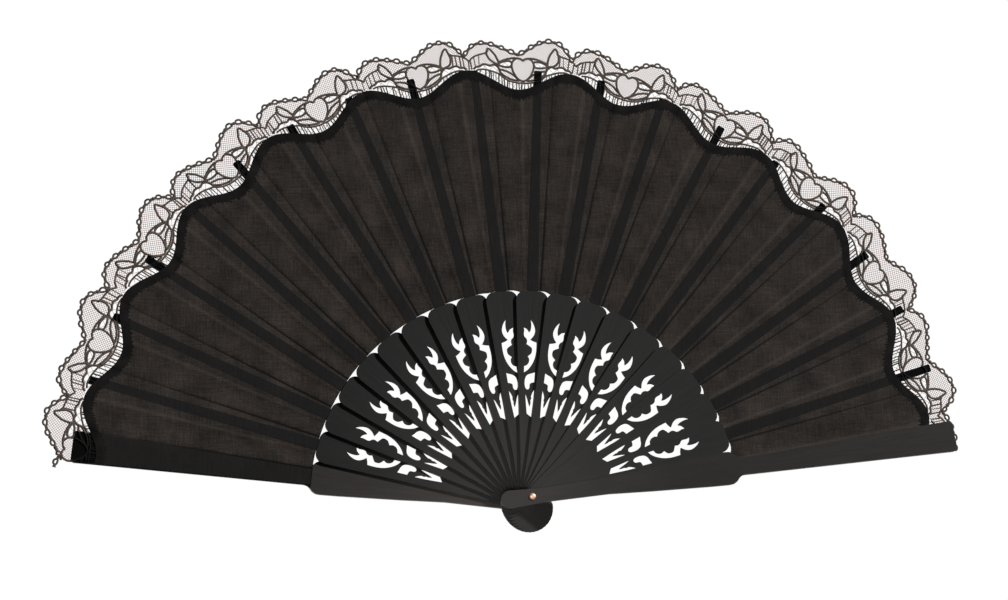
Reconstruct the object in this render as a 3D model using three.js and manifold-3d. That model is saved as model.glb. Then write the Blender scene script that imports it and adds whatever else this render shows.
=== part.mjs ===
// Folding lace hand fan, fully open and lying flat.
// Millimetres. +Z is the side that faces the user, +Y runs from the pivot to the middle of the
// leaf, and the pivot's axis is the Z axis. The rear guard lies at the bottom on the left, each
// stick lies over its left neighbour, and the front guard lies on top on the right.
import * as THREE from 'three';
import Module from 'manifold-3d';

const wasm = await Module();
wasm.setup();
const { Manifold } = wasm;

// Layout of the sticks round the pivot
const STICKS = 18;                 // pierced sticks between the two guards
const PITCH_DEG = 8.62;            // opening between one stick and the next
const LAST_PITCH_DEG = 9.54;       // opening between the last stick and the front guard
const OPEN_DEG = STICKS * PITCH_DEG + LAST_PITCH_DEG;

// Layers of the stack
const STICK_T = 0.9;               // thickness of a stick where it is pierced
const RIB_T = 0.45;                // thickness of its thin upper rib
const LAYER = 1.1;                 // height from one stick to the next
const GUARD_T = 2.6;
const LEAF_LIFT = 0.55;            // underside of the leaf above the underside of its stick
const LEAF_T = 0.15;
const FIRST_Z = GUARD_T - STICK_T; // the rear guard fills the stack from zero to its own top

// Stick outline, distances from the pivot and half widths
const HEAD_R = 4.3;
const HEAD_Y = -10.9;
const HEAD_STEPS = 8;
const HOLE_R = 1.25;
const HOLE_SIDES = 12;
const SHOULDER_Y = 101.3;
const RIB_FOOT_Y = 97;
const RIB_TIP_Y = 212;
const RIB_FOOT_HALF = 2.9;
const RIB_TIP_HALF = 1.95;
const STICK_SIDE = [[3.5, 4], [3.75, 20], [7.9, 96.5]];
const SHOULDER_FLAT_HALF = 3.6;    // half length of the straight end of the shoulder
const SHOULDER_STEPS = 5;

// Guard outline
const GUARD_SIDE = [[3.3, 6], [3.9, 37], [5.5, 58], [7.45, 88], [7.85, 96.5], [7.7, 98.6],
  [6.8, 100.2], [5.3, 101.6], [4.5, 102.7], [4.1, 104.4], [7.5, 211.6], [7.1, 212.7], [6.1, 213.2]];
const BLADE_Y = 101.4;             // the rear guard is thinner beyond here, under the leaf
const BLADE_EDGE_FOOT = 4.1;
const BLADE_EDGE_TIP = 7.5;
const BLADE_TIP_Y = 213.2;
const RELIEF = [20, 250];          // half width and far end of the cut that thins the blade
const CUT_PAST = 1;                // how far cuts run past the face they start from
const TIP_CUT = 0.5;               // small corner cut at a rib's tip

// Leaf and lace
const LEAF_IN = 101.9;             // inner edge of the leaf
const HEM_MEAN = 207.0;            // mean distance of the scalloped hem from the pivot
const HEM_WAVE = 5.2;              // half height of a scallop of the hem
const REPEAT_DEG = 14.1;           // one repeat of the lace pattern
const NOTCH_DEG = 166.35;          // first deep notch in the lace's edge, from +X
const LACE_LOW = 219.2;            // lace edge in its notches
const LACE_ARCH = 8.6;             // height of each arch of the lace's edge
const END_ARCH = 3.5;              // height of the cut-off arch at either end
const FIRST_LOW_DEG = NOTCH_DEG + REPEAT_DEG / 2;
const LAST_LOW_DEG = NOTCH_DEG - 11 * REPEAT_DEG;
const HEM_DROOP = [8.5, 46, 30];   // the border hangs closer to the pivot at the right end:
const EDGE_DROOP = [7.5, 36, 17];  // by how much, from which angle and over how many degrees
const SEAM_GAP = 0.3;              // clear gap between the leaf and the lace
const GLUE_INSET = 0.3;            // the leaf stops just short of the guards' outer edges
const PANEL_MID_R = 210;           // panels are divided evenly along this arc
const SHEET_STEPS = 10;            // straight pieces along each panel's outer edge

// Rivet and washer
const PIN_R = 1.0;
const DOME_R = 1.65;
const DOME_H = 0.85;
const TAIL_R = 1.45;
const TAIL_H = 0.35;
const SINK_R = 2.7;                // shallow round sinking in the rear guard's back face
const SINK_H = 0.75;
const WASHER_R = 2.3;
const WASHER_HOLE_R = 1.1;
const WASHER_Z = 0.42;
const WASHER_T = 0.25;
const PLAY = 0.08;                 // clear gap under the rivet's head
const DOME_EDGE_H = 0.17;          // straight edge of the head, then two steps up to its crown
const DOME_STEPS = [[1.4, 0.53], [0.83, 0.78]];
const ROUND_SIDES = 24;

const INK_WOOD = 0x2b2a2a;
const INK_GUARD = 0x2e2c2b;
const INK_LEAF = 0x38322c;
const INK_LACE = 0x1c1b1c;
const COPPER = 0xb98a6a;

const rad = (deg) => (deg * Math.PI) / 180;

// Element 0 is the rear guard, 1 to STICKS are the sticks, STICKS + 1 is the front guard
const elementDeg = (k) => {
  const regular = 90 + OPEN_DEG / 2 - Math.min(k, STICKS) * PITCH_DEG;
  return k > STICKS ? regular - LAST_PITCH_DEG : regular;
};
const elementZ = (k) => FIRST_Z + k * LAYER;

// Fretwork of a left-hand stick. x is across the stick, y runs away from the pivot, and a third
// value of 1 marks a sharp corner. Right-hand sticks carry the mirror image.
const FLAME_AND_CRESCENT = [
  [0.65, 87.4, 1], [0.25, 85.5, 0], [0.2, 83.4, 0], [0.5, 81.8, 0], [1.0, 81.0, 1],
  [2.2, 82.6, 0], [3.9, 83.3, 1], [3.55, 81.8, 0], [3.7, 80.0, 0], [3.4, 78.7, 0],
  [2.45, 77.9, 0], [1.95, 76.6, 0], [2.3, 75.1, 1], [0.9, 74.3, 0], [-0.3, 73.4, 0],
  [-0.5, 72.1, 0], [-0.1, 70.6, 0], [1.5, 69.2, 1], [0.8, 68.0, 0], [0.85, 66.4, 0],
  [1.75, 65.0, 0], [3.15, 64.4, 1], [3.15, 61.3, 1], [1.6, 62.4, 0], [0.05, 64.2, 0],
  [-1.4, 66.8, 0], [-2.3, 69.6, 0], [-2.7, 72.6, 0], [-2.75, 76.3, 1], [-1.0, 76.8, 0],
  [0.4, 77.5, 1], [-0.9, 79.0, 0], [-1.65, 80.5, 0], [-1.9, 82.1, 0], [-1.5, 84.0, 0],
  [-0.6, 85.9, 0],
];
const COMMA = [
  [-2.3, 61.75, 1], [-2.05, 56.8, 1], [-0.9, 56.55, 0], [0.05, 55.95, 0], [0.15, 54.4, 0],
  [0.6, 53.4, 0], [1.4, 53.1, 0], [2.15, 53.65, 0], [2.6, 55.0, 0], [2.7, 57.0, 0],
  [2.2, 59.3, 0], [0.8, 60.6, 0], [-0.8, 61.15, 0],
];
const FORK = [
  [-2.1, 53.2, 1], [-1.9, 49.5, 0], [-1.5, 45.0, 0], [-0.95, 39.8, 1], [1.3, 41.4, 1],
  [1.7, 45.2, 0], [2.25, 51.2, 1], [1.35, 49.2, 0], [0.6, 46.8, 0], [-0.05, 45.0, 1],
  [-0.45, 46.6, 0], [-0.3, 47.7, 1], [-0.75, 48.9, 0], [-0.55, 49.8, 1], [-1.15, 51.6, 0],
];

// Closed loop through the points: a soft point gets one extra point on the curve either side
function smoothLoop(points) {
  const count = points.length;
  const at = (i) => points[(i + count) % count];
  const loop = [];
  for (let i = 0; i < count; i += 1) {
    const [a, b, c, d] = [at(i - 1), at(i), at(i + 1), at(i + 2)];
    loop.push([b[0], b[1]]);
    const before = b[2] ? b : a;
    const after = c[2] ? c : d;
    const mid = [0, 1].map((n) => (9 * (b[n] + c[n]) - before[n] - after[n]) / 16);
    if (!(b[2] && c[2])) loop.push(mid);
  }
  return loop;
}

const mirrored = (loop) => loop.map(([x, y]) => [-x, y]).reverse();

function shapeFrom(loop, holes = []) {
  const shape = new THREE.Shape(loop.map(([x, y]) => new THREE.Vector2(x, y)));
  for (const hole of holes) {
    shape.holes.push(new THREE.Path(hole.map(([x, y]) => new THREE.Vector2(x, y))));
  }
  return shape;
}

function slab(loop, holes, z0, z1) {
  const options = { depth: z1 - z0, bevelEnabled: false, curveSegments: 1 };
  const geometry = new THREE.ExtrudeGeometry(shapeFrom(loop, holes), options);
  geometry.translate(0, 0, z0);
  return geometry;
}

// Solids are joined and cut as exact bodies, then turned back into plain geometry
function toSolid(geometry) {
  const position = geometry.getAttribute('position');
  const keys = new Map();
  const vertices = [];
  const triangles = [];
  for (let i = 0; i < position.count; i += 1) {
    const p = [position.getX(i), position.getY(i), position.getZ(i)];
    const key = p.map((v) => v.toFixed(5)).join(' ');
    if (!keys.has(key)) {
      keys.set(key, vertices.length / 3);
      vertices.push(...p);
    }
    triangles.push(keys.get(key));
  }
  return new Manifold(new wasm.Mesh({
    numProp: 3,
    vertProperties: new Float32Array(vertices),
    triVerts: new Uint32Array(triangles),
  }));
}

function toGeometry(solid) {
  const mesh = solid.getMesh();
  const geometry = new THREE.BufferGeometry();
  geometry.setAttribute('position', new THREE.BufferAttribute(mesh.vertProperties, 3));
  geometry.setIndex(new THREE.BufferAttribute(mesh.triVerts, 1));
  const flat = geometry.toNonIndexed();
  flat.computeVertexNormals();
  return flat;
}

const ring = (r, sides, cx = 0, cy = 0) => Array.from({ length: sides }, (unused, i) => {
  const a = (2 * Math.PI * i) / sides;
  return [cx + r * Math.cos(a), cy + r * Math.sin(a)];
});

// Round lower end of every stick and guard, from its right side round to its left side
function headArc() {
  const arc = [];
  for (let i = 0; i <= HEAD_STEPS; i += 1) {
    const a = Math.PI + (Math.PI * i) / HEAD_STEPS;
    arc.push([HEAD_R * Math.cos(a), HEAD_Y + HEAD_R * Math.sin(a)]);
  }
  return arc;
}

function closeOutline(rightSide) {
  const leftSide = rightSide.map(([x, y]) => [-x, y]).reverse();
  return [...headArc(), ...rightSide, ...leftSide];
}

function stickOutline() {
  const side = STICK_SIDE.map(([x, y]) => [x, y]);
  const [cornerX, cornerY] = STICK_SIDE[STICK_SIDE.length - 1];
  for (let i = 1; i <= SHOULDER_STEPS; i += 1) {
    const a = (Math.PI / 2) * (i / SHOULDER_STEPS);
    side.push([
      SHOULDER_FLAT_HALF + (cornerX - SHOULDER_FLAT_HALF) * Math.cos(a),
      cornerY + (SHOULDER_Y - cornerY) * Math.sin(a),
    ]);
  }
  return closeOutline(side);
}

const ribOutline = () => [
  [-RIB_FOOT_HALF, RIB_FOOT_Y], [RIB_FOOT_HALF, RIB_FOOT_Y],
  [RIB_TIP_HALF, RIB_TIP_Y - TIP_CUT], [RIB_TIP_HALF - TIP_CUT, RIB_TIP_Y],
  [-RIB_TIP_HALF + TIP_CUT, RIB_TIP_Y], [-RIB_TIP_HALF, RIB_TIP_Y - TIP_CUT],
];

function place(geometry, k) {
  geometry.rotateZ(rad(elementDeg(k) - 90));
  return geometry;
}

const group = new THREE.Group();
group.name = 'folding_lace_fan';

function add(name, geometry, color, roughness, metalness = 0) {
  const material = new THREE.MeshStandardMaterial({ color, roughness, metalness });
  material.name = `${name}_finish`;
  if (name.startsWith('leaf') || name.startsWith('lace')) material.side = THREE.DoubleSide;
  const mesh = new THREE.Mesh(geometry, material);
  mesh.name = name;
  group.add(mesh);
}

const label = (k) => String(k).padStart(2, '0');

// Pierced sticks
function stick(k) {
  const leftHand = k % 2 === 1;
  const frets = [FLAME_AND_CRESCENT, COMMA, FORK].map((points) => {
    const loop = smoothLoop(points);
    return leftHand ? loop : mirrored(loop);
  });
  const z = elementZ(k);
  const pierced = toSolid(slab(stickOutline(), [...frets, ring(HOLE_R, HOLE_SIDES)], z, z + STICK_T));
  const rib = toSolid(slab(ribOutline(), [], z, z + RIB_T));
  return place(toGeometry(pierced.add(rib)), k);
}

// Guards: plain, thicker, with a rounded step on both sides where the blade begins
function guard(k) {
  const z0 = k === 0 ? 0 : elementZ(k);
  const holes = [ring(HOLE_R, HOLE_SIDES)];
  let solid = toSolid(slab(closeOutline(GUARD_SIDE), holes, z0, z0 + GUARD_T));
  if (k === 0) {
    const [wide, far] = RELIEF;
    const relief = [[-wide, BLADE_Y], [wide, BLADE_Y], [wide, far], [-wide, far]];
    solid = solid.subtract(toSolid(slab(relief, [], FIRST_Z + RIB_T, GUARD_T + CUT_PAST)));
    solid = solid.subtract(toSolid(slab(ring(SINK_R, ROUND_SIDES), [], -CUT_PAST, SINK_H)));
  }
  return place(toGeometry(solid), k);
}

// Edges of the leaf and the lace, as distances from the pivot at an angle from +X
function droop(deg, [most, fromDeg, overDeg]) {
  const t = Math.min(1, Math.max(0, (fromDeg - deg) / overDeg));
  return most * t * t * (3 - 2 * t);
}

const hemAt = (deg) => {
  const phase = (2 * Math.PI * (NOTCH_DEG - deg)) / REPEAT_DEG;
  return HEM_MEAN + HEM_WAVE * Math.cos(phase) - droop(deg, HEM_DROOP);
};

const laceEdgeAt = (deg) => {
  const height = deg > FIRST_LOW_DEG || deg < LAST_LOW_DEG ? END_ARCH : LACE_ARCH;
  const arch = Math.abs(Math.sin((2 * Math.PI * (NOTCH_DEG - deg)) / REPEAT_DEG));
  return LACE_LOW + height * arch ** 0.8 - droop(deg, EDGE_DROOP);
};

// Angle by which the outer edge of a guard's blade lies outside its own centre line
const bladeEdgeDeg = (r) => {
  const t = (r - BLADE_Y) / (BLADE_TIP_Y - BLADE_Y);
  const half = BLADE_EDGE_FOOT + (BLADE_EDGE_TIP - BLADE_EDGE_FOOT) * t - GLUE_INSET;
  return (Math.asin(half / r) * 180) / Math.PI;
};

// Panel k fills the opening between elements k - 1 and k. The first and last panels carry on
// over the rear guard's blade and under the front guard's blade.
function panel(k, innerAt, outerAt) {
  const startDeg = elementDeg(k - 1);
  const endDeg = elementDeg(k);
  const last = k === STICKS + 1;
  const edgeDeg = (share, r) => {
    const from = k === 1 ? startDeg + bladeEdgeDeg(r) : startDeg;
    const to = last ? endDeg - bladeEdgeDeg(r) : endDeg;
    return from + (to - from) * share;
  };
  const polar = (r, deg) => [r * Math.cos(rad(deg)), r * Math.sin(rad(deg))];
  const loop = [];
  for (let i = 0; i <= SHEET_STEPS; i += 1) {
    const deg = edgeDeg(i / SHEET_STEPS, PANEL_MID_R);
    loop.push(polar(outerAt(deg), edgeDeg(i / SHEET_STEPS, outerAt(deg))));
  }
  for (let i = SHEET_STEPS; i >= 0; i -= 1) {
    const near = innerAt(edgeDeg(i / SHEET_STEPS, PANEL_MID_R));
    loop.push(polar(near, edgeDeg(i / SHEET_STEPS, near)));
  }
  const z = elementZ(k - 1) + LEAF_LIFT;
  return toGeometry(toSolid(slab(loop.reverse(), [], z, z + LEAF_T)));
}

// Rivet with its domed head on the front guard, and the washer it is closed over at the back
function rivet() {
  const top = elementZ(STICKS + 1) + GUARD_T + PLAY;
  const profile = [[0, 0], [TAIL_R, 0], [TAIL_R, TAIL_H], [PIN_R, TAIL_H], [PIN_R, top],
    [DOME_R, top], [DOME_R, top + DOME_EDGE_H], ...DOME_STEPS.map(([r, h]) => [r, top + h]),
    [0, top + DOME_H]];
  const points = profile.map(([r, z]) => new THREE.Vector2(r, z));
  return new THREE.LatheGeometry(points, ROUND_SIDES).rotateX(Math.PI / 2);
}

const washer = () => slab(ring(WASHER_R, ROUND_SIDES), [ring(WASHER_HOLE_R, ROUND_SIDES)],
  WASHER_Z, WASHER_Z + WASHER_T);

add('rear_guard', guard(0), INK_GUARD, 0.5);
for (let k = 1; k <= STICKS; k += 1) add(`stick_${label(k)}`, stick(k), INK_WOOD, 0.5);
add('front_guard', guard(STICKS + 1), INK_GUARD, 0.5);
add('rivet', rivet(), COPPER, 0.35, 0.9);
add('rivet_washer', washer(), COPPER, 0.4, 0.9);
for (let k = 1; k <= STICKS + 1; k += 1) {
  add(`leaf_panel_${label(k)}`, panel(k, () => LEAF_IN, hemAt), INK_LEAF, 0.95);
  add(`lace_panel_${label(k)}`, panel(k, (deg) => hemAt(deg) + SEAM_GAP, laceEdgeAt), INK_LACE, 0.9);
}

export default group;
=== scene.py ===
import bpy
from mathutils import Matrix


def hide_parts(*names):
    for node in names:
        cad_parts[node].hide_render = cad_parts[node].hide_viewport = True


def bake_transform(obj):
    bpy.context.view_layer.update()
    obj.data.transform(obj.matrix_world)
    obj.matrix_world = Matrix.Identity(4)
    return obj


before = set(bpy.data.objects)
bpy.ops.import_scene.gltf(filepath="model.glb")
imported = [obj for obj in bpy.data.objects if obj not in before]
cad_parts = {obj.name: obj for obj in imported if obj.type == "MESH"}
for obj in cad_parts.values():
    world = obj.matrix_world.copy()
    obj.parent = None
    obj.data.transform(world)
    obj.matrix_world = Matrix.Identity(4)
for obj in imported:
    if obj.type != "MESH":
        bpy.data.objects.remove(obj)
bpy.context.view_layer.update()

import math
import random

import bpy
from mathutils import Matrix, Vector

# Folding lace hand fan. The pierced sticks, the guards, the rivet and its washer are the CAD nodes
# with better materials. The pleated leaf, its hem and the lace are made here. Metres, in the CAD's
# frame: +Z out of the fan's face, +Y from the pivot to the middle of the leaf. Angles round the
# pivot are in degrees from +X, and fall from the rear guard on the left to the front guard.

MM = 0.001
TINY = 1e-9

# Layout, repeated from the part's source
STICKS = 18
PITCH_DEG = 8.62
LAST_PITCH_DEG = 9.54
OPEN_DEG = STICKS * PITCH_DEG + LAST_PITCH_DEG
LAYER = 0.0011
FIRST_Z = 0.0017
RIB_FOOT_R, RIB_FOOT_HALF = 0.097, 0.0029
RIB_TIP_R, RIB_TIP_HALF = 0.212, 0.00195
BLADE_R, BLADE_HALF = 0.1014, 0.0041
BLADE_TIP_R, BLADE_TIP_HALF = 0.2132, 0.0075
LEAF_IN = 0.10147
HEM_MEAN, HEM_WAVE = 0.2070, 0.0052
REPEAT_DEG = 14.1
REPEATS = 13
NOTCH_DEG = 166.35
LACE_LOW, LACE_ARCH, END_ARCH = 0.2192, 0.0086, 0.0035
ARCH_POWER = 0.8
HEM_DROOP = (0.0085, 46, 30)      # how far it sinks, from which angle, and over how many degrees
EDGE_DROOP = (0.0075, 36, 17)
FIRST_LOW_DEG = NOTCH_DEG + REPEAT_DEG / 2
LAST_LOW_DEG = NOTCH_DEG - 11 * REPEAT_DEG
GLUE_INSET = 0.0003

# The leaf over each opening: it lies on the left rib, drops into a valley fold, runs low to the
# right rib's edge, and climbs over a ridge fold onto that rib. Heights are above the left rib's
# underside, and the same levels count again from the right rib's underside.
LEAF_T = 0.00015
ON_RIB = 0.00062
VALLEY = 0.00056
LOW = 0.00090
RIDGE_LIFT = 0.00006                      # the ridge fold stands this much above a straight climb
LAST_LOW, LAST_END = 0.00083, 0.00100     # the last opening's leaf stays under the front guard
FOLD_HALF_DEG = 0.42
RISE_MARGIN_DEG = 0.1
LEFT_SPARE_DEG = 2                        # room for the lace's loose end past the rear guard

# Camera, matched to the photograph's view of the fan
LENS_MM, SENSOR_MM = 100.0, 36.0
CAM_AZ, CAM_EL, CAM_ROLL = -12.529, 12.376, -2.237
CAM_TARGET = (-0.0071, 0.0968, 0.0123)
CAM_DISTANCE = 1.3393
CAM_CLIP = (0.05, 20.0)

# Light and floor
SKY_COLOUR, SKY_STRENGTH = (1.0, 0.99, 0.97, 1), 0.06
SUN_COLOUR, SUN_POWER, SUN_WIDE_DEG = (1.0, 0.98, 0.96), 5.8, 4.0
SUN_AZ, SUN_EL = 35, 30
LAMP_COLOUR, LAMP_WATTS, LAMP_SOFT, LAMP_CONE_DEG = (1.0, 0.95, 0.90), 13.0, 0.05, 15
LAMP_AIM, LAMP_PLACE = (-0.004, 0.006, 0.02), (-0.12, -0.10, 0.46)
FLOOR_HALF, FLOOR_Z = 3.0, -0.0004
FLOOR_BASE, FLOOR_GLOW = (0.02, 0.02, 0.02, 1), (1, 1, 1, 1)

# Rounded edges of the CAD's wood: width and segments
GUARD_ROUND, STICK_ROUND = (0.00045, 3), (0.00016, 2)
ROUND_FROM_DEG = 40
FLAT_WITHIN_DEG = 0.5
WELD_WITHIN = 1e-6


# ---------------------------------------------------------------- places on the fan

def element_deg(k):
    """Angle of element k: 0 is the rear guard, 1 to STICKS the sticks, then the front guard."""
    regular = 90 + OPEN_DEG / 2 - min(k, STICKS) * PITCH_DEG
    return regular - LAST_PITCH_DEG if k > STICKS else regular


def element_body(k):
    if k == 0:
        return "rear_guard"
    return "front_guard" if k > STICKS else f"stick_{k:02d}"


def polar(r, deg, z=0.0):
    a = math.radians(deg)
    return Vector((r * math.cos(a), r * math.sin(a), z))


def smooth(t):
    t = min(1.0, max(0.0, t))
    return t * t * (3 - 2 * t)


def droop(deg, most, from_deg, over_deg):
    return most * smooth((from_deg - deg) / over_deg)


def hem_at(deg):
    phase = 2 * math.pi * (NOTCH_DEG - deg) / REPEAT_DEG
    return HEM_MEAN + HEM_WAVE * math.cos(phase) - droop(deg, *HEM_DROOP)


def edge_at(deg):
    height = END_ARCH if deg > FIRST_LOW_DEG or deg < LAST_LOW_DEG else LACE_ARCH
    arch = abs(math.sin(2 * math.pi * (NOTCH_DEG - deg) / REPEAT_DEG))
    return LACE_LOW + height * arch ** ARCH_POWER - droop(deg, *EDGE_DROOP)


def half_deg(r, r0, half0, r1, half1):
    """Half the angle that a tapering bar covers at distance r."""
    half = half0 + (half1 - half0) * (r - r0) / (r1 - r0)
    return math.degrees(half / r)


def rib_half_deg(r):
    return half_deg(r, RIB_FOOT_R, RIB_FOOT_HALF, RIB_TIP_R, RIB_TIP_HALF)


def blade_edge_deg(r):
    return half_deg(r, BLADE_R, BLADE_HALF - GLUE_INSET, BLADE_TIP_R, BLADE_TIP_HALF - GLUE_INSET)


class Gap:
    """The opening between elements k - 1 and k, filled by one piece of the leaf and of the lace."""

    def __init__(self, k):
        self.k = k
        self.start, self.end = element_deg(k - 1), element_deg(k)
        self.width = self.start - self.end
        self.z = FIRST_Z + (k - 1) * LAYER
        self.first, self.last = k == 1, k == STICKS + 1
        self.bodies = element_body(k - 1), element_body(k)

    def turn(self, deg):
        """Share of the joint's turn at this angle: none up to the valley fold, all of it past the
        ridge fold.
        """
        share = (self.start - deg) / self.width
        return min(1.0, max(0.0, 2 * share - 0.5))

    def knots(self, r):
        """(degrees past the left element, height) where the sheet's section bends, at distance r."""
        fold1, fold2 = self.width / 4, 3 * self.width / 4
        low = LAST_LOW if self.last else LOW
        end = LAST_END if self.last else LAYER + ON_RIB
        clear = rib_half_deg(r) + RISE_MARGIN_DEG
        rise, top = self.width / 2 + clear, self.width - clear
        share = (fold2 - rise) / (top - rise)
        ridge = low + (end - low) * share + RIDGE_LIFT
        return [
            (0.0, ON_RIB), (fold1 - FOLD_HALF_DEG, ON_RIB), (fold1, VALLEY),
            (fold1 + FOLD_HALF_DEG, low), (rise, low), (fold2, ridge),
            (top, end), (self.width, end),
        ]

    def height(self, deg, r):
        past = self.start - deg
        knots = self.knots(r)
        for (d0, h0), (d1, h1) in zip(knots, knots[1:]):
            if past <= d1:
                return self.z + h0 + (h1 - h0) * max(0.0, past - d0) / (d1 - d0)
        return self.z + knots[-1][1]

    def stations(self):
        """Angles where a thread needs a point of its own: both edges and both folds."""
        return [self.start, self.start - self.width / 4, self.start - 3 * self.width / 4, self.end]


GAPS = [Gap(k) for k in range(1, STICKS + 2)]
LEFT_DEG = element_deg(0) + blade_edge_deg(BLADE_TIP_R)
RIGHT_DEG = element_deg(STICKS + 1) - blade_edge_deg(BLADE_TIP_R)


# ---------------------------------------------------------------- mesh making

def put_in_scene(name, data):
    made = bpy.data.objects.new(name, data)
    bpy.context.scene.collection.objects.link(made)
    return made


class Builder:
    """Gathers the vertices, faces and UVs of one mesh."""

    def __init__(self):
        self.verts, self.faces, self.uvs = [], [], []

    def add(self, point):
        self.verts.append(tuple(point))
        return len(self.verts) - 1

    def face(self, corners, uvs):
        self.faces.append(tuple(corners))
        self.uvs.extend(uvs)

    def object(self, name, material, sharp_deg=0):
        mesh = bpy.data.meshes.new(name)
        mesh.from_pydata(self.verts, [], self.faces)
        layer = mesh.uv_layers.new(name="cloth")
        layer.data.foreach_set("uv", [c for uv in self.uvs for c in uv])
        mesh.polygons.foreach_set("use_smooth", [True] * len(mesh.polygons))
        mesh.materials.append(material)
        if sharp_deg:
            mesh.set_sharp_from_angle(angle=math.radians(sharp_deg))
        return put_in_scene(name, mesh)


def follow_joint(piece, gap):
    """Bakes the piece's placement into its mesh and works out each point's share of the joint's turn,
    which nothing uses.
    """
    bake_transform(piece)
    weights = [gap.turn(math.degrees(math.atan2(v.co.y, v.co.x))) for v in piece.data.vertices]
    return piece


def sweep(builder, gap, path, wide, high, sides, lift=0.0, closed=False):
    """A thread along path, a list of (degrees, distance from the pivot), at the leaf's level."""
    points = [polar(r, deg, gap.height(deg, r) + lift) for deg, r in path]
    count = len(points)
    if count < 2:
        return
    rings, run = [], 0.0
    for i, p in enumerate(points):
        before = points[i - 1] if i or closed else p
        after = points[(i + 1) % count] if i + 1 < count or closed else p
        along = (after - before).normalized()
        across = Vector((-along.y, along.x, 0)).normalized()
        if i:
            run += (p - points[i - 1]).length
        ring = []
        for j in range(sides):
            a = math.pi / 2 + 2 * math.pi * j / sides
            up = Vector((0, 0, high * math.sin(a)))
            ring.append(builder.add(p + across * wide * math.cos(a) + up))
        rings.append((ring, run))
    if closed:
        rings.append((rings[0][0], run + (points[0] - points[-1]).length))
    for (a, u0), (b, u1) in zip(rings, rings[1:]):
        for j in range(sides):
            n = (j + 1) % sides
            v0, v1 = j / sides * MM, (j + 1) / sides * MM
            builder.face((a[j], a[n], b[n], b[j]), ((u0, v0), (u0, v1), (u1, v1), (u1, v0)))
    if not closed:
        for ring, run in (rings[0], rings[-1]):
            corners = ring[::-1] if ring is rings[0][0] else ring
            builder.face(corners, [(run, 0.0)] * sides)


def spline(a, b, c, d, t):
    """Point at share t between b and c on the smooth curve through a, b, c and d."""
    return tuple(
        0.5 * (2 * q1 + (q2 - q0) * t + (2 * q0 - 5 * q1 + 4 * q2 - q3) * t ** 2
               + (3 * q1 - q0 - 3 * q2 + q3) * t ** 3)
        for q0, q1, q2, q3 in zip(a, b, c, d))


def four_round(points, i, closed=False):
    """Points i - 1 to i + 2. On an open line the end points count again past the ends."""
    n = len(points)
    if closed:
        return [points[(i + o) % n] for o in (-1, 0, 1, 2)]
    return [points[min(n - 1, max(0, i + o))] for o in (-1, 0, 1, 2)]


def dense(points, step, closed=False):
    """Smooth curve through (degrees, distance) points, one point about every step metres."""
    curve = []
    for i in range(len(points) if closed else len(points) - 1):
        a, b, c, d = four_round(points, i, closed)
        length = math.hypot(math.radians(c[0] - b[0]) * b[1], c[1] - b[1])
        pieces = max(1, round(length / step))
        for s in range(pieces):
            t = s / pieces
            curve.append(spline(a, b, c, d, t))
    if not closed:
        curve.append(points[-1])
    return curve


def clip(path, gap):
    """The stretches of path inside the gap, with points exactly on its edges and folds."""
    high = LEFT_DEG + LEFT_SPARE_DEG if gap.first else gap.start
    low = RIGHT_DEG if gap.last else gap.end
    stations = [s for s in gap.stations() if low <= s <= high] + [high, low]
    fine = [path[0]]
    for (d0, r0), (d1, r1) in zip(path, path[1:]):
        crossed = [(s - d0) / (d1 - d0) for s in stations if (s - d0) * (s - d1) < 0]
        for t in sorted(crossed):
            fine.append((d0 + (d1 - d0) * t, r0 + (r1 - r0) * t))
        fine.append((d1, r1))
    stretches, current = [], []
    for deg, r in fine:
        if low - TINY <= deg <= high + TINY:
            current.append((deg, r))
        else:
            stretches.append(current)
            current = []
    stretches.append(current)
    return [s for s in stretches if len(s) > 1]


# ---------------------------------------------------------------- lace pattern

# One repeat of the pattern, from the middle of its heart: degrees to either side, and millimetres
# from the pivot. Each list is one side, and the other side is its mirror image.
HEART = [(0.0, 216.2), (0.22, 217.2), (0.72, 217.7), (1.22, 216.6), (1.46, 214.3), (1.37, 211.7),
         (1.08, 209.3), (0.63, 207.2), (0.0, 205.9)]
LOWER_PETAL = [(0.55, 206.4), (1.05, 208.4), (1.9, 210.6), (2.95, 211.8), (3.05, 210.6),
               (2.45, 208.6), (1.5, 206.9)]
UPPER_PETAL = [(1.5, 215.9), (2.3, 216.2), (3.1, 215.1), (3.25, 214.3), (2.5, 213.3), (1.6, 213.5)]
PETAL_MIDDLE, PETAL_HALF = (2.4, 214.8), (0.8, 1.2)
SIDE_CORD = [(3.0, 209.4), (3.12, 211.6), (3.3, 213.6), (3.25, 215.2)]
TOP_CORD = [(0.8, 217.9), (1.9, 217.4), (3.25, 215.6)]
RIGHT_LEAF = [(3.35, 214.6), (3.35, 218.2), (3.68, 221.4), (4.2, 223.9), (4.55, 221.2), (4.7, 218.2),
              (4.35, 215.4)]
LEFT_LEAF = [(3.2, 214.4), (3.4, 217.6), (3.85, 220.6), (4.42, 222.7), (4.68, 220.2), (4.45, 217.8),
             (3.9, 215.7)]
COMB_TOP = [(4.4, 221.6), (4.95, 220.3), (5.6, 219.8), (6.3, 218.9), (6.75, 217.8), (7.05, 216.4)]
CLOUD = [(3.1, 211.4), (3.35, 213.3), (3.85, 214.5), (4.35, 213.9), (4.75, 214.6), (5.35, 214.7),
         (5.75, 213.7), (6.2, 213.6), (6.6, 212.4)]
RAIL = [(0.0, 205.1), (0.9, 205.3), (1.9, 206.3), (2.7, 208.0), (3.2, 209.6), (4.0, 210.9),
        (4.8, 211.9), (5.6, 212.3), (6.2, 211.9)]

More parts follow.
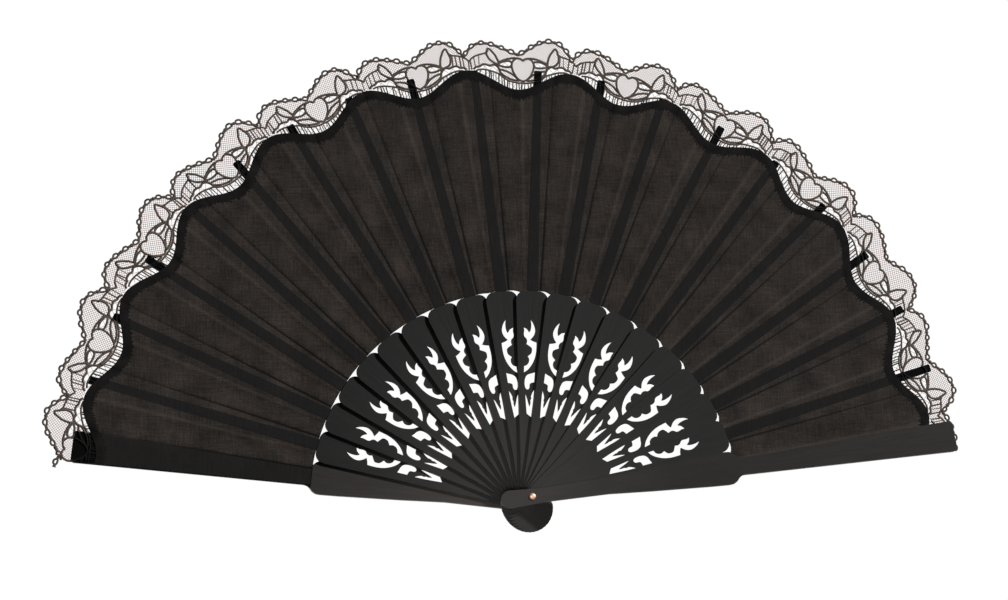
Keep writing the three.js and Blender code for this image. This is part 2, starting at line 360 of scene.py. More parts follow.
# The edge chain's middle line, degrees clockwise and counter-clockwise of a heart's middle. The
# border scallops lean towards the notches over the hem's peaks.
CHAIN_RIGHT = [(0.0, 219.4), (0.9, 221.4), (2.0, 224.4), (3.1, 226.6), (4.2, 227.3), (5.2, 226.4),
               (6.2, 223.2), (7.05, 218.9)]
CHAIN_LEFT = [(0.0, 219.4), (0.9, 220.8), (2.1, 222.8), (3.2, 224.4), (4.3, 225.5), (5.3, 225.2),
              (6.3, 222.8), (7.05, 218.9)]
HEART_SHIFT_DEG = -0.6       # the hearts sit a little clockwise of the hem's low points
RUNG_DEG, COMB_RUNG_DEG = 0.42, 0.5
RUNG_UNEVEN, RUNG_LEAN_DEG, RUNG_MISSED = 0.35, 0.12, 0.08
RUNG_THICK = (0.6, 1.3)      # share of the usual width, least and most
COMB_FROM, COMB_TO = 4.85, 6.95
RAIL_END = 6.0
RUNG_TUCK = 0.4              # the ladder's rungs reach this far under the hem, in mm
CORD_STEP = 0.0007
EDGE_GAP = 0.0004            # pattern threads stop this far inside the edge chain

# Half widths and half heights of the threads
HEART_CORD = (0.00060, 0.00017)
PETAL_CORD = (0.00058, 0.00015)
FINE_CORD = (0.00046, 0.00013)
RUNG_CORD = (0.00036, 0.00010)
CHAIN_CORD = (0.00050, 0.00016)
KNOT_CORD = (0.00092, 0.00022)
NET_CORD = (0.000110, 0.000070)

EDGE_STEPS = 3000            # points along the whole edge chain
EDGE_LOOK = 3                # the chain's direction is read over this many points either way
CHAIN_SAMPLES = 60           # points over half a repeat of its middle line
CURVE_PARTS = 16
CHAIN_PAST_DEG = 0.9         # its loose end past the rear guard's blade
PICOT_PITCH = 0.0053
PICOT_HALF = 0.00125
PICOT_RISE = 0.00095
PICOT_DIP = 0.00045
PICOT_PITCH_SHARE, PICOT_SIZE_SHARE = (0.88, 1.12), (0.85, 1.15)
STRAND_OFF = 0.00022         # the edge's two strands lie this far either side of its middle line
KNOT_HALF = 0.0006
END_INSET = 0.0013
NET_PITCH = 0.00095
NET_STEP = 0.0004
NET_KEEP = 3                 # a net thread keeps one of its steps in three
SPARSE = 3                   # one net thread in three crosses the open parts of the pattern
MID_R = 0.215
THREAD_SEED, PICOT_SEED = 5, 11


def at_repeat(heart_deg, side, points):
    """Pattern points placed on the fan. The pattern hangs lower where the hem does."""
    placed = []
    for u, r in points:
        deg = heart_deg - side * u
        placed.append((deg, r * MM - droop(deg, *HEM_DROOP)))
    return placed


def level(points, u):
    """Distance from the pivot on a pattern line, u degrees from the heart's middle, in mm."""
    for (u0, r0), (u1, r1) in zip(points, points[1:]):
        if u <= u1:
            return r0 + (r1 - r0) * (u - u0) / (u1 - u0)
    return points[-1][1]


def from_low(deg):
    """Degrees clockwise from the hem's nearest low point, half a repeat either way at most."""
    return (FIRST_LOW_DEG - deg + REPEAT_DEG / 2) % REPEAT_DEG - REPEAT_DEG / 2


def chain_at(deg):
    """Distance from the pivot to the middle of the edge chain."""
    if deg > FIRST_LOW_DEG or deg < LAST_LOW_DEG:
        return edge_at(deg) - END_INSET
    u = from_low(deg)
    line = CHAIN_LINES[u > 0]
    at = min(int(abs(u) / REPEAT_DEG * 2 * CHAIN_SAMPLES), CHAIN_SAMPLES - 1)
    (u0, r0), (u1, r1) = line[at], line[at + 1]
    return (r0 + (r1 - r0) * (abs(u) - u0) / (u1 - u0)) * MM - droop(deg, *EDGE_DROOP)


def even_line(points, samples):
    """A smooth curve through the points, read at even steps over half a repeat."""
    fine = []
    for i in range(len(points) - 1):
        near = four_round(points, i)
        fine += [spline(*near, s / CURVE_PARTS) for s in range(CURVE_PARTS)]
    fine.append(points[-1])
    return [(u, level(fine, u)) for u in (REPEAT_DEG / 2 * i / samples for i in range(samples + 1))]


def inside_edge(path):
    """The stretches of path that stay inside the edge chain and the lace's left end."""
    stretches, current = [], []
    for deg, r in path:
        if r < chain_at(deg) - EDGE_GAP and deg < LEFT_DEG:
            current.append((deg, r))
        else:
            stretches.append(current)
            current = []
    stretches.append(current)
    return [s for s in stretches if len(s) > 1]


def rung_places(rng, first, last, step):
    """Uneven places for the rungs of a ladder, a few of them left out: (foot, top, thickness)."""
    places, u = [], first
    while u < last:
        if rng.random() > RUNG_MISSED:
            top = u + rng.uniform(-RUNG_LEAN_DEG, RUNG_LEAN_DEG)
            places.append((u, top, rng.uniform(*RUNG_THICK)))
        u += step * rng.uniform(1 - RUNG_UNEVEN, 1 + RUNG_UNEVEN)
    return places


def repeat_threads(heart_deg, rng):
    """(path, cord, sides) of every thread in one repeat, the edge chain left out."""
    threads = []

    def line(points, side, cord, sides=4, loop=False):
        placed = dense(at_repeat(heart_deg, side, points), CORD_STEP, closed=loop)
        if loop:
            placed.append(placed[0])
        threads.extend((path, cord, sides) for path in inside_edge(placed))

    for side in (1, -1):
        line(HEART, side, HEART_CORD, sides=6)
        line(LOWER_PETAL, side, PETAL_CORD, sides=5, loop=True)
        line(UPPER_PETAL, side, PETAL_CORD, sides=5, loop=True)
        line(SIDE_CORD, side, PETAL_CORD)
        line(TOP_CORD, side, PETAL_CORD, sides=5)
        line(RIGHT_LEAF if side > 0 else LEFT_LEAF, side, PETAL_CORD, sides=5, loop=True)
        line(COMB_TOP, side, FINE_CORD)
        line(CLOUD, side, PETAL_CORD)
        line(RAIL, side, FINE_CORD)
        for u, top, thick in rung_places(rng, COMB_FROM, COMB_TO, COMB_RUNG_DEG):
            foot = max(level(CLOUD, u), hem_mm(heart_deg - side * u))
            rung = [(u, foot), (top, level(COMB_TOP, top))]
            line(rung, side, (RUNG_CORD[0] * thick, RUNG_CORD[1]), sides=3)
        for u, top, thick in rung_places(rng, RUNG_DEG / 2, RAIL_END, RUNG_DEG):
            rung = [(u, hem_mm(heart_deg - side * u) - RUNG_TUCK), (top, level(RAIL, top))]
            line(rung, side, (RUNG_CORD[0] * thick, RUNG_CORD[1]), sides=3)
    return threads


def hem_mm(deg):
    """The hem's distance from the pivot in mm, without droop."""
    return (hem_at(deg) + droop(deg, *HEM_DROOP)) / MM


def edge_threads():
    """The edge chain: two strands that part round each picot's hole, and knots between them."""
    rng = random.Random(PICOT_SEED)
    start = LEFT_DEG + CHAIN_PAST_DEG
    base = []
    for i in range(EDGE_STEPS + 1):
        deg = start - (start - RIGHT_DEG) * i / EDGE_STEPS
        base.append(polar(chain_at(deg), deg))
    inner, outer, knots = [], [], []
    run, centre, size = 0.0, PICOT_PITCH / 2, 1.0
    for i, p in enumerate(base):
        ahead = base[min(EDGE_STEPS, i + EDGE_LOOK)] - base[max(0, i - EDGE_LOOK)]
        outward = Vector((-ahead.y, ahead.x, 0)).normalized()
        run += (p - base[i - 1]).length if i else 0.0
        if run > centre + PICOT_PITCH / 2:
            centre += PICOT_PITCH * rng.uniform(*PICOT_PITCH_SHARE)
            size = rng.uniform(*PICOT_SIZE_SHARE)
        off = (run - centre) / (PICOT_HALF * size)
        bow = math.sqrt(1 - off * off) * size if abs(off) < 1 else 0.0
        dip, rise = -STRAND_OFF - PICOT_DIP * bow, STRAND_OFF + PICOT_RISE * bow
        for strand, shift in ((inner, dip), (outer, rise)):
            q = p + outward * shift
            strand.append((math.degrees(math.atan2(q.y, q.x)), q.length))
        if abs(run - centre + PICOT_PITCH / 2) < KNOT_HALF * size:
            if not (knots and knots[-1][1] == i - 1):
                knots.append([[], i])
            knots[-1][0].append((math.degrees(math.atan2(p.y, p.x)), p.length))
            knots[-1][1] = i
    threads = [(path, KNOT_CORD, 4) for path, unused in knots if len(path) > 1]
    return threads + [(inner, CHAIN_CORD, 4), (outer, CHAIN_CORD, 4)]


def net_here(deg, r, everywhere):
    """True where a net thread shows. Few of them cross the ladder, clouds and upper petals."""
    flat = (r + droop(deg, *HEM_DROOP)) / MM
    u = abs(from_low(deg - HEART_SHIFT_DEG))
    if r > chain_at(deg) - STRAND_OFF or r < hem_at(deg) or over_tip(deg, r):
        return False
    if everywhere:
        return True
    if flat < level(RAIL, u) or CLOUD[0][0] < u < CLOUD[-1][0] and flat < level(CLOUD, u):
        return False
    shares = zip((u, flat), PETAL_MIDDLE, PETAL_HALF)
    return math.hypot(*((value - middle) / half for value, middle, half in shares)) > 1


def over_tip(deg, r):
    """True over the end of a rib or of the rear guard's blade."""
    past = (element_deg(0) - deg + PITCH_DEG / 2) % PITCH_DEG - PITCH_DEG / 2
    if deg > element_deg(0) - PITCH_DEG / 2:
        return r < BLADE_TIP_R and abs(past) < blade_edge_deg(r)
    return r < RIB_TIP_R and abs(past) < rib_half_deg(r)


def net_threads():
    """Two crossing families of slanting threads, cut to where the net shows."""
    threads = []
    low, high = HEM_MEAN - HEM_WAVE - HEM_DROOP[0], LACE_LOW + LACE_ARCH
    steps = int((high - low) / NET_STEP)
    spread = math.radians(LEFT_DEG - RIGHT_DEG) * MID_R
    reach = high - low
    apart = NET_PITCH * math.sqrt(2)
    lines = int((spread + 2 * reach) / apart)
    for lean in (1, -1):
        for n in range(lines):
            foot = n * apart - reach
            current = []
            for i in range(steps + 1):
                r = low + i * NET_STEP
                deg = LEFT_DEG - math.degrees((foot + lean * (r - low)) / MID_R)
                if RIGHT_DEG < deg < LEFT_DEG and net_here(deg, r, n % SPARSE == 0):
                    current.append((deg, r))
                elif current:
                    threads.append(current)
                    current = []
            threads.append(current)
    kept = [t[:-1:NET_KEEP] + [t[-1]] for t in threads if len(t) > 2]
    return [(t, NET_CORD, 3) for t in kept]


# The edge chain's line either side of a heart's middle: True for clockwise, False for the other
CHAIN_LINES = {
    True: even_line(CHAIN_RIGHT, CHAIN_SAMPLES),
    False: even_line(CHAIN_LEFT, CHAIN_SAMPLES),
}


# ---------------------------------------------------------------- leaf and hem

LEAF_ROWS = 28
FOLD_LINE_DEG, RIDGE_LINE_DEG = 0.16, 0.3   # half widths of the marked folds, at the hem
FOLD_FADE_R, FOLD_FADE, FOLD_LEAST = 0.195, 0.07, 0.4   # the painted shade in the valley is darkest near the sticks
LEAF_BULGE = 0.0015                    # the leaf hangs this far in between the right-hand sticks
BULGE_HALF_DEG, BULGE_FROM, BULGE_OVER = 0.9, 8, 4
CREASE_DEG = 50                        # sheets are shaded sharp over edges steeper than this
HEM_BAND = 0.0046
HEM_T = 0.00013
HEM_ROWS = 6
HEM_RIM, HEM_ROUND, HEM_UNDER = 0.35, 0.5, 0.3   # its section: rim height, roundness, underside
HEM_RIPPLES = ((0.00022, 2.9), (0.00015, 7.3), (0.00010, 17.1))
STITCH_PITCH, STITCH_REACH, STITCH_HOLD = 0.0013, 0.0009, 0.0006
STITCH_SHIFT, STITCH_REACH_SHARE = 0.3, (0.5, 1.3)
STITCH_LEAN_DEG = 0.12
STITCH_CORD = (0.00028, 0.00009)
SPLITS = (3, 2, 2, 4, 3, 3, 2)         # columns between neighbouring bends of the section


def columns(gap, r):
    """Degrees past the left element of every column of the leaf's grid, at distance r."""
    knots = [d for d, unused in gap.knots(r)]
    found = [0.0]
    for a, b, splits in zip(knots, knots[1:], SPLITS):
        found += [a + (b - a) * (i + 1) / splits for i in range(splits)]
    extra = blade_edge_deg(r)
    if gap.first:
        found = [-extra, -extra / 2] + found
    if gap.last:
        found += [gap.width + extra / 2, gap.width + extra]
    return found


def slab(builder, grid, top, bottom):
    """Closed thin sheet over a grid of (degrees, distance, height) rows."""
    layers = []
    for side in (top, bottom):
        layers.append([[builder.add(polar(r, deg, z + side)) for deg, r, z in row] for row in grid])
    up, down = layers
    rows, cols = len(grid), len(grid[0])

    def uv(i, j):
        p = polar(grid[i][j][1], grid[i][j][0])
        return p.x, p.y

    def quad(corners, places):
        builder.face(corners, [uv(i, j) for i, j in places])

    for i in range(rows - 1):
        for j in range(cols - 1):
            places = [(i, j), (i, j + 1), (i + 1, j + 1), (i + 1, j)]
            quad([down[a][b] for a, b in places], places)
            places.reverse()
            quad([up[a][b] for a, b in places], places)
    rim = [(0, j) for j in range(cols)] + [(i, cols - 1) for i in range(1, rows)]
    rim += [(rows - 1, j) for j in range(cols - 2, -1, -1)] + [(i, 0) for i in range(rows - 2, 0, -1)]
    for a, b in zip(rim, rim[1:] + rim[:1]):
        quad([down[b[0]][b[1]], down[a[0]][a[1]], up[a[0]][a[1]], up[b[0]][b[1]]], [b, a, a, b])


def leaf_grid(gap, from_r, to_r, rows):
    """Rows of (degrees, distance, height) between two edges, given as functions of the angle."""
    guess = columns(gap, HEM_MEAN)
    grid = []
    for i in range(rows + 1):
        row = []
        for j, past in enumerate(guess):
            near, far = from_r(gap.start - past), to_r(gap.start - past)
            r = near + (far - near) * i / rows
            deg = gap.start - columns(gap, r)[j]
            row.append((deg, r, gap.height(deg, r)))
        grid.append(row)
    return grid


def make_leaf(gap, material):
    """One opening's share of the pleated leaf, a closed thin sheet."""
    builder = Builder()

    def inner(deg):
        off = abs(gap.start - deg - gap.width / 2) / BULGE_HALF_DEG
        return LEAF_IN - bulge * max(0.0, 1 - off)

    bulge = LEAF_BULGE * smooth((gap.k - BULGE_FROM) / BULGE_OVER)
    grid = leaf_grid(gap, inner, hem_at, LEAF_ROWS)
    slab(builder, grid, LEAF_T / 2, -LEAF_T / 2)
    return builder.object(f"leaf_{gap.k:02d}", material, sharp_deg=CREASE_DEG)


def ripple(deg):
    """Small unevenness of the hem's inner edge."""
    return sum(size * math.sin(rate * deg) for size, rate in HEM_RIPPLES)


def make_hem(gap, material, rng):
    """The band that finishes the leaf's edge, and the stitches over its inner edge."""
    builder = Builder()
    grid = leaf_grid(gap, lambda deg: hem_at(deg) - HEM_BAND + ripple(deg), hem_at, HEM_ROWS)
    crowned = []
    for i, row in enumerate(grid):
        swell = HEM_T * (HEM_RIM + (1 - HEM_RIM) * math.sin(math.pi * i / HEM_ROWS) ** HEM_ROUND)
        crowned.append([(deg, r, z + LEAF_T / 2 + swell) for deg, r, z in row])
    slab(builder, crowned, 0.0, -HEM_T * HEM_UNDER)
    span = math.radians(gap.width) * HEM_MEAN
    stitches = int(span / STITCH_PITCH)
    for i in range(stitches):
        shift = rng.uniform(-STITCH_SHIFT, STITCH_SHIFT)
        deg = gap.start - gap.width * (i + 0.5 + shift) / stitches
        edge = hem_at(deg) - HEM_BAND + ripple(deg)
        reach = STITCH_REACH * rng.uniform(*STITCH_REACH_SHARE)
        lean = rng.uniform(-STITCH_LEAN_DEG, STITCH_LEAN_DEG)
        path = [(deg, edge + STITCH_HOLD), (deg, edge), (deg + lean, edge - reach)]
        sweep(builder, gap, path, *STITCH_CORD, 4, LEAF_T / 2 + HEM_T / 2)
    return builder.object(f"hem_{gap.k:02d}", material, sharp_deg=CREASE_DEG)


def tip_marks(piece):
    """Marks the threads that lie over a rib's tip or the rear guard's blade, which are darkened almost
    to black.
    """
    marks = []
    for v in piece.data.vertices:
        deg = math.degrees(math.atan2(v.co.y, v.co.x))
        marks.append(float(over_tip(deg, math.hypot(v.co.x, v.co.y))))
    piece.data.attributes.new("tip_darkened", "FLOAT", "POINT").data.foreach_set("value", marks)


def make_lace(gap, threads, name, material):
    """The part of each thread that lies in the gap, as one piece."""
    builder = Builder()
    for thread, (wide, high), sides in threads:
        for stretch in clip(thread, gap):
            closed = len(stretch) > 3 and stretch[0] == stretch[-1]
            path = stretch[:-1] if closed else stretch
            sweep(builder, gap, path, wide, high, sides, closed=closed)
    return builder.object(f"{name}_{gap.k:02d}", material)


# ---------------------------------------------------------------- materials

NOISE_LOW, NOISE_HIGH = 0.3, 0.7       # nearly all of a noise lies between these

# Wood. Noise scales across, along and up a stick, for coordinates in millimetres
GRAIN_SCALE, PORE_SCALE, CLOUD_SCALE = (2.2, 0.05, 0.6), (5.5, 0.35, 2.0), (0.09, 0.04, 0.1)
GRAIN_SPREAD = 80.0                    # millimetres for each radian round the pivot
PORE_DEPTH, WOOD_BUMP = 0.35, 0.00004
WOOD_SHINE, COVERED_SHINE = 0.165, 0.02
PORE_BLACK, COVERED_BLACK = (0.006, 0.005, 0.005, 1), (0.0012, 0.0012, 0.0014, 1)
RAW_WOOD, RAW_SHARE = (0.14, 0.055, 0.035, 1), 0.75
RAW_NEAR, RAW_FAR = (24.0, 32.0), (50.0, 60.0)   # raw wood starts and ends here, mm from the pivot
COVERED_FROM = (101.2, 102.2)
STICK_DARK, STICK_LIGHT = (0.0080, 0.0082, 0.0085, 1), (0.0120, 0.0118, 0.0117, 1)
REAR_DARK, REAR_LIGHT = (0.0193, 0.0175, 0.0166, 1), (0.0266, 0.0238, 0.0226, 1)
FRONT_DARK, FRONT_LIGHT = (0.0114, 0.0105, 0.0102, 1), (0.0170, 0.0153, 0.0148, 1)
STICK_ROUGH, REAR_ROUGH, FRONT_ROUGH = 0.50, 0.48, 0.50

# Cloth
LEAF_WEAVE, HEM_WEAVE = 0.00042, 0.00036          # pitch of the threads
WEAVE_DRIFT = 0.00025                             # how far the threads wander
CLOTH_BUMP, CLOTH_ROUGH, CLOTH_SHINE = 0.00005, 0.9, 0.08
LEAF_DARK, LEAF_LIGHT = (0.0095, 0.0092, 0.0094, 1), (0.0162, 0.0155, 0.0152, 1)
# Painted shade along the valley fold, and a painted highlight along the ridge fold
FOLD_PAINTED_SHADE, RIDGE_PAINTED_HIGHLIGHT = (0.003, 0.003, 0.003, 1), (0.048, 0.043, 0.038, 1)
LEAF_TINT = (1.0, 0.87, 0.77, 1)                  # colour of the light that comes through
LEAF_PASSED, HOLE_PASSED = 0.112, 0.2             # share of light through threads and holes
HEM_DARK, HEM_LIGHT = (0.0030, 0.0028, 0.0029, 1), (0.0110, 0.0098, 0.0094, 1)
HEM_THREAD = (0.0085, 0.0080, 0.0085, 1)

# Thread
CORD_DARK, CORD_LIGHT, CORD_TWIST = (0.045, 0.036, 0.030, 1), (0.115, 0.092, 0.076, 1), 0.0009
NET_DARK, NET_LIGHT, NET_TWIST = (0.19, 0.085, 0.052, 1), (0.32, 0.15, 0.10, 1), 0.0005
TIP_BLACK = (0.0015, 0.0014, 0.0015, 1)
THREAD_BUMP, THREAD_ROUGH, THREAD_SHEEN, THREAD_SHINE = 0.00006, 0.8, 0.15, 0.12

# Rivet
COPPER_BRIGHT, COPPER_DULL = (0.52, 0.34, 0.25, 1), (0.32, 0.18, 0.12, 1)
COPPER_ROUGH = (0.5, 0.66)


class Shader:
    """A material's node tree, with short ways to add and join nodes."""

    def __init__(self, name):
        self.material = bpy.data.materials.new(name)
        self.material.use_nodes = True
        self.tree = self.material.node_tree
        self.principled = self.tree.nodes["Principled BSDF"]
        self.output = self.tree.nodes["Material Output"]

    def node(self, kind, inputs=(), **settings):
        made = self.tree.nodes.new(kind)
        for key, value in settings.items():
            setattr(made, key, value)
        for key, value in dict(inputs).items():
            self.feed(made.inputs[key], value)
        return made

    def feed(self, socket, value):
        if isinstance(value, bpy.types.NodeSocket):
            self.tree.links.new(value, socket)
        else:
            socket.default_value = value

    def math(self, operation, a, b=0.0, clamp=False):
        made = self.node("ShaderNodeMath", {0: a, 1: b}, operation=operation, use_clamp=clamp)
        return made.outputs[0]

    def noise(self, vector, scale, detail=2.0, roughness=0.5):
        inputs = {"Vector": vector, "Scale": scale, "Detail": detail, "Roughness": roughness}
        return self.node("ShaderNodeTexNoise", inputs).outputs["Fac"]

    def remap(self, value, from_low, from_high, to_low, to_high):
        inputs = {0: value, 1: from_low, 2: from_high, 3: to_low, 4: to_high}
        return self.node("ShaderNodeMapRange", inputs).outputs[0]

    def spread(self, noise, to_low, to_high):
        """A noise, stretched to run from to_low to to_high."""
        return self.remap(noise, NOISE_LOW, NOISE_HIGH, to_low, to_high)

    def mix(self, factor, a, b):
        made = self.node("ShaderNodeMix", data_type="RGBA")
        self.feed(made.inputs[0], factor)
        self.feed(made.inputs[6], a)
        self.feed(made.inputs[7], b)
        return made.outputs[2]

    def stretch(self, vector, scale):
        made = self.node("ShaderNodeMapping", {"Vector": vector, "Scale": scale})
        return made.outputs["Vector"]

    def bump(self, height, distance, strength=1.0):
        inputs = {"Height": height, "Distance": distance, "Strength": strength}
        return self.node("ShaderNodeBump", inputs).outputs["Normal"]

    def set(self, **inputs):
        for key, value in inputs.items():
            self.feed(self.principled.inputs[key.replace("_", " ")], value)


def along_stick(shader):
    """Coordinates in millimetres for grain that runs out from the pivot: across, along, up."""
    spot = shader.node("ShaderNodeTexCoord").outputs["Object"]
    parts = shader.node("ShaderNodeSeparateXYZ", {0: spot}).outputs
    angle = shader.math("ARCTAN2", parts[1], parts[0])
    flat = shader.node("ShaderNodeCombineXYZ", {0: parts[0], 1: parts[1]}).outputs[0]
    reach = shader.node("ShaderNodeVectorMath", {0: flat}, operation="LENGTH").outputs["Value"]
    across = shader.math("MULTIPLY", angle, GRAIN_SPREAD)
    along = shader.math("DIVIDE", reach, MM)
    up = shader.math("DIVIDE", parts[2], MM)
    return shader.node("ShaderNodeCombineXYZ", {0: across, 1: along, 2: up}).outputs[0]


def black_wood(name, dark, light, rough, plain=False):
    """Black stained wood: fine grain along each stick, and open pores.

    From the shoulders out, under the leaf, the ribs are darkened almost to black and lose most of
    their shine. The walls of the pierced cuts near the pivot show some raw wood. A plain piece has
    neither.
    """
    shader = Shader(name)
    spot = along_stick(shader)
    grain = shader.noise(shader.stretch(spot, GRAIN_SCALE), 1.0, 4.0, 0.6)
    pores = shader.noise(shader.stretch(spot, PORE_SCALE), 1.0, 1.0)
    clouds = shader.noise(shader.stretch(spot, CLOUD_SCALE), 1.0, 3.0)
    pore_mask = shader.remap(pores, 0.60, 0.72, 0.0, 1.0)
    clouded = shader.spread(clouds, -0.2, 0.3)
    shade = shader.math("ADD", shader.spread(grain, 0.0, 0.7), clouded)
    colour = shader.mix(shade, dark, light)
    colour = shader.mix(shader.math("MULTIPLY", pore_mask, 0.45), colour, PORE_BLACK)
    shine = WOOD_SHINE
    if not plain:
        along = shader.node("ShaderNodeSeparateXYZ", {0: spot}).outputs[1]
        normal = shader.node("ShaderNodeNewGeometry").outputs["True Normal"]
        facing = shader.node("ShaderNodeSeparateXYZ", {0: normal}).outputs[2]
        wall = shader.remap(shader.math("ABSOLUTE", facing), 0.2, 0.5, 1.0, 0.0)
        wall = shader.math("MULTIPLY", wall, shader.remap(along, *RAW_FAR, RAW_SHARE, 0.0))
        wall = shader.math("MULTIPLY", wall, shader.remap(along, *RAW_NEAR, 0.0, 1.0))
        colour = shader.mix(wall, colour, RAW_WOOD)
        # Ribs under the leaf are darkened almost to black, with less shine
        covered = shader.remap(along, *COVERED_FROM, 0.0, 0.9)
        colour = shader.mix(covered, colour, COVERED_BLACK)
        shine = shader.remap(covered, 0.0, 0.9, WOOD_SHINE, COVERED_SHINE)
    polish = shader.spread(grain, rough - 0.05, rough + 0.07)
    gloss = shader.math("ADD", polish, shader.math("MULTIPLY", pore_mask, 0.12))
    pits = shader.math("MULTIPLY", pore_mask, PORE_DEPTH)
    height = shader.math("SUBTRACT", shader.math("MULTIPLY", grain, 0.5), pits)
    normal = shader.bump(height, WOOD_BUMP, 0.2 if plain else 0.5)
    shader.set(Base_Color=colour, Roughness=gloss, Specular_IOR_Level=shine, Normal=normal)
    return shader.material


def woven(shader, pitch):
    """(thread height, hole, place) of a plain weave from the cloth's own coordinates."""
    spot = shader.node("ShaderNodeUVMap", uv_map="cloth").outputs[0]
    drift = shader.noise(spot, 260.0, 2.0)
    parts = shader.node("ShaderNodeSeparateXYZ", {0: spot}).outputs
    waves = []
    for part, lean in ((parts[0], WEAVE_DRIFT), (parts[1], -WEAVE_DRIFT)):
        bent = shader.math("ADD", part, shader.math("MULTIPLY", drift, lean))
        turns = shader.math("MULTIPLY", bent, math.pi / pitch)
        waves.append(shader.math("SINE", turns))
    round_x, round_y = (shader.math("ABSOLUTE", w) for w in waves)
    over = shader.math("MULTIPLY", waves[0], waves[1])
    sign = shader.remap(over, -0.15, 0.15, 0.0, 1.0)
    thread = shader.node("ShaderNodeMix", {0: sign, 2: round_x, 3: round_y}).outputs[0]
    between_x, between_y = (shader.remap(r, 0.0, 0.35, 1.0, 0.0) for r in (round_x, round_y))
    return thread, shader.math("MULTIPLY", between_x, between_y), spot


def leaf_cloth(name):
    """Thin dark cotton that lets a little warm light through. The valley fold gets painted shade,
    darker and letting less through, and the ridge fold a painted highlight.
    """
    shader = Shader(name)
    thread, hole, spot = woven(shader, LEAF_WEAVE)
    slub = shader.noise(shader.stretch(spot, (900.0, 120.0, 1.0)), 1.0, 3.0)
    patch = shader.noise(spot, 75.0, 3.0)
    tone = shader.math("ADD", shader.spread(slub, 0.0, 0.5), shader.spread(patch, 0.0, 0.5))
    colour = shader.mix(tone, LEAF_DARK, LEAF_LIGHT)
    fold = shader.node("ShaderNodeAttribute", attribute_name="fold").outputs["Fac"]
    ridge = shader.node("ShaderNodeAttribute", attribute_name="ridge").outputs["Fac"]
    # Painted shade along the valley fold, and a painted highlight along the ridge fold
    colour = shader.mix(shader.math("MULTIPLY", fold, 0.8), colour, FOLD_PAINTED_SHADE)
    colour = shader.mix(shader.math("MULTIPLY", ridge, 0.5), colour, RIDGE_PAINTED_HIGHLIGHT)
    normal = shader.bump(thread, CLOTH_BUMP, 0.5)
    shader.set(Base_Color=colour, Roughness=CLOTH_ROUGH, Specular_IOR_Level=CLOTH_SHINE, Normal=normal)
    clear = shader.node("ShaderNodeBsdfTransparent", {"Color": LEAF_TINT}).outputs[0]
    weft = shader.noise(shader.stretch(spot, (110.0, 1300.0, 1.0)), 1.0, 3.0, 0.6)
    warp = shader.noise(shader.stretch(spot, (1300.0, 110.0, 1.0)), 1.0, 3.0, 0.6)
    specks = shader.noise(spot, 1400.0, 1.0)
    uneven = shader.math("ADD", shader.math("ADD", weft, warp), shader.math("ADD", patch, specks))
    passed = shader.math("ADD", LEAF_PASSED, shader.math("MULTIPLY", hole, HOLE_PASSED))
    passed = shader.math("MULTIPLY", passed, shader.remap(uneven, 1.6, 2.4, 0.45, 1.55))
    # Less light passes along the valley fold: more painted shade there
    fold_shade_cut = shader.remap(fold, 0.0, 1.0, 1.0, 0.0)
    passed = shader.math("MULTIPLY", passed, fold_shade_cut, clamp=True)
    body = shader.node("ShaderNodeMixShader", {0: passed, 1: shader.principled.outputs[0], 2: clear})
    shader.tree.links.new(body.outputs[0], shader.output.inputs["Surface"])
    return shader.material


def hem_cloth(name):
    """The hem's tape: plain weave in uneven black, with the tops of the threads a little worn."""
    shader = Shader(name)
    thread, unused, spot = woven(shader, HEM_WEAVE)
    patch = shader.noise(spot, 160.0, 3.0)
    colour = shader.mix(shader.spread(patch, 0.0, 1.0), HEM_DARK, HEM_LIGHT)
    colour = shader.mix(shader.math("MULTIPLY", thread, 0.3), colour, HEM_THREAD)
    normal = shader.bump(thread, CLOTH_BUMP, 0.6)
    shader.set(Base_Color=colour, Roughness=CLOTH_ROUGH, Specular_IOR_Level=CLOTH_SHINE, Normal=normal)
    return shader.material


def thread_finish(name, dark, light, twist):
    """Twisted cotton thread: slanting strands round it, uneven dye and a soft sheen."""
    shader = Shader(name)
    spot = shader.node("ShaderNodeUVMap", uv_map="cloth").outputs[0]
    parts = shader.node("ShaderNodeSeparateXYZ", {0: spot}).outputs
    lengthwise = shader.math("DIVIDE", parts[0], twist)
    turns = shader.math("ADD", lengthwise, shader.math("DIVIDE", parts[1], MM))
    strand = shader.math("SINE", shader.math("MULTIPLY", turns, 2 * math.pi))
    patch = shader.noise(spot, 220.0, 2.0)
    lit = shader.remap(strand, -1.0, 1.0, 0.0, 0.45)
    tone = shader.math("ADD", lit, shader.spread(patch, 0.0, 0.55))
    # Threads over the tips are darkened almost to black, without sheen
    tip_darkened = shader.node("ShaderNodeAttribute", attribute_name="tip_darkened").outputs["Fac"]
    colour = shader.mix(tip_darkened, shader.mix(tone, dark, light), TIP_BLACK)
    sheen = shader.remap(tip_darkened, 0.0, 1.0, THREAD_SHEEN, 0.0)
    normal = shader.bump(strand, THREAD_BUMP, 0.6)
    shader.set(Base_Color=colour, Roughness=THREAD_ROUGH, Sheen_Weight=sheen, Normal=normal)
    shader.set(Sheen_Roughness=0.4, Specular_IOR_Level=THREAD_SHINE)
    return shader.material


def copper(name):
    """Coppery rivet metal, softly polished, with fine scratches and a little tarnish."""
    shader = Shader(name)
    spot = shader.node("ShaderNodeTexCoord").outputs["Object"]
    tarnish = shader.noise(spot, 1500.0, 3.0)
    scratches = shader.noise(shader.stretch(spot, (9000.0, 900.0, 900.0)), 1.0, 1.0)
    dulled = shader.remap(tarnish, 0.45, 0.75, 0.0, 0.8)
    colour = shader.mix(dulled, COPPER_BRIGHT, COPPER_DULL)
    rough = shader.spread(scratches, *COPPER_ROUGH)
    normal = shader.bump(scratches, 0.00001, 0.4)
    shader.set(Base_Color=colour, Metallic=1.0, Roughness=rough, Normal=normal)
    return shader.material


# ---------------------------------------------------------------- camera, light and floor

